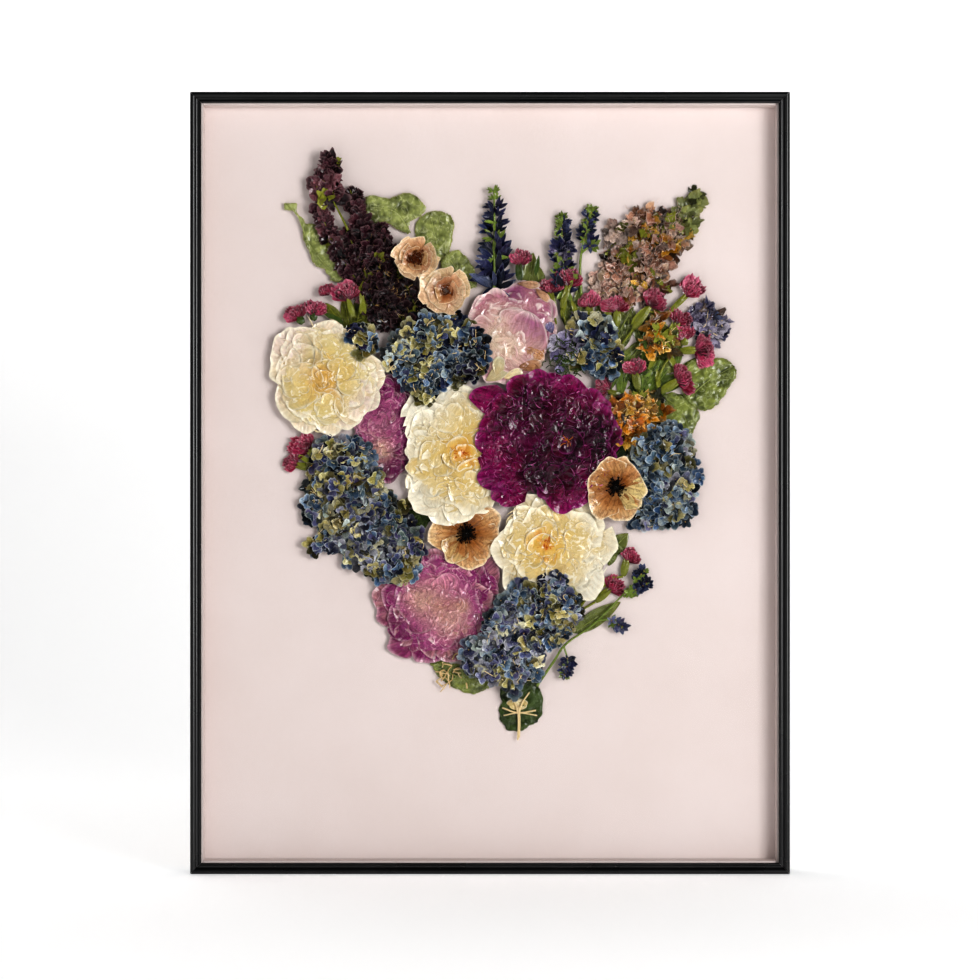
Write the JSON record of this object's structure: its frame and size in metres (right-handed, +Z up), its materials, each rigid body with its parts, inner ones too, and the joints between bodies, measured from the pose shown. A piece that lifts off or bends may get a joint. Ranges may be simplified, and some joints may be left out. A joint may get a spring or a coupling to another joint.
{
  "type": "pressed flower frame",
  "caption": "Slim black shadow-box frame with a bouquet of pressed garden flowers fixed on a pink board behind a clear pane.",
  "frame": {"origin": "middle of the underside of the bottom rail, halfway through the frame's depth", "axes": "+X to the right seen from the front, +Y to the back so that the flowers face -Y, +Z up"},
  "size_m": [0.46, 0.032, 0.6],
  "materials": {
    "lacquer_black": "satin black lacquer on a profiled wood moulding",
    "glass_clear": "clear polished pane",
    "card_pink": "matte pale pink mount board with a fine paper tooth",
    "hardboard": "brown hardboard, smooth side out",
    "zinc_steel": "zinc-plated strip",
    "petal_cream": "dried cream petal, translucent and finely wrinkled",
    "petal_burgundy": "dried burgundy petal with a silky sheen",
    "petal_mauve": "dried mauve petal, streaked",
    "petal_pink": "dried pale pink petal",
    "petal_tan": "dried tan petal with a pale rim",
    "petal_slate": "dried blue hydrangea sepals, mottled green and yellow",
    "petal_plum": "dried dark plum petal",
    "petal_navy": "dried navy petal",
    "petal_lilac": "dried lilac petal",
    "petal_beige": "dried beige-rose floret",
    "petal_crimson": "dried crimson petal",
    "petal_orange": "dried orange petal",
    "leaf_green": "dried green leaf with raised veins",
    "leaf_dark": "dried dark green leaf with raised veins"
  },
  "bodies": {
    "root": {"rail_top": "lacquer_black", "rail_bottom": "lacquer_black", "rail_left": "lacquer_black", "rail_right": "lacquer_black", "glazing": "glass_clear", "spacer_top": "card_pink", "spacer_bottom": "card_pink", "spacer_left": "card_pink", "spacer_right": "card_pink", "mount_board": "card_pink", "back_panel": "hardboard", "tab_1": "zinc_steel", "tab_2": "zinc_steel", "tab_3": "zinc_steel", "tab_4": "zinc_steel", "tab_5": "zinc_steel", "tab_6": "zinc_steel", "hanger_left": "zinc_steel", "hanger_right": "zinc_steel", "rose_cream_left": "petal_cream", "rose_cream_middle": "petal_cream", "rose_cream_lower": "petal_cream", "dahlia_burgundy": "petal_burgundy", "rose_mauve_lower": "petal_mauve", "rose_mauve_hidden": "petal_mauve", "peony_pink": "petal_pink", "rose_tan_upper": "petal_tan", "rose_tan_lower": "petal_tan", "poppy_right": "petal_tan", "poppy_left": "petal_tan", "hydrangea_centre": "petal_slate", "hydrangea_sprig": "petal_slate", "hydrangea_left": "petal_slate", "hydrangea_right": "petal_slate", "hydrangea_lower": "petal_slate", "hydrangea_upper_right": "petal_slate", "stock_spike": "petal_plum", "stock_bud": "petal_plum", "delphinium_navy": "petal_navy", "veronica_lilac": "petal_lilac", "plume_rose": "petal_beige", "twig_lower": "leaf_green", "carnation_left_upper": "petal_crimson", "carnation_left_middle": "petal_crimson", "carnation_left_lower": "petal_crimson", "carnation_middle": "petal_crimson", "carnation_spray_upper": "petal_crimson", "carnation_spray_right": "petal_crimson", "carnation_spray_foot": "petal_crimson", "blossom_orange_upper": "petal_orange", "blossom_orange_lower": "petal_orange", "scabiosa_lilac": "petal_lilac", "leaf_sprig_left": "leaf_green", "leaf_upper_left": "leaf_green", "leaf_upper_middle": "leaf_green", "leaf_upper_right": "leaf_green", "leaf_right_upper": "leaf_green", "leaf_right_lower": "leaf_green", "leaf_foot": "leaf_dark", "leaf_foot_left": "leaf_dark"}
  },
  "joints": []
}
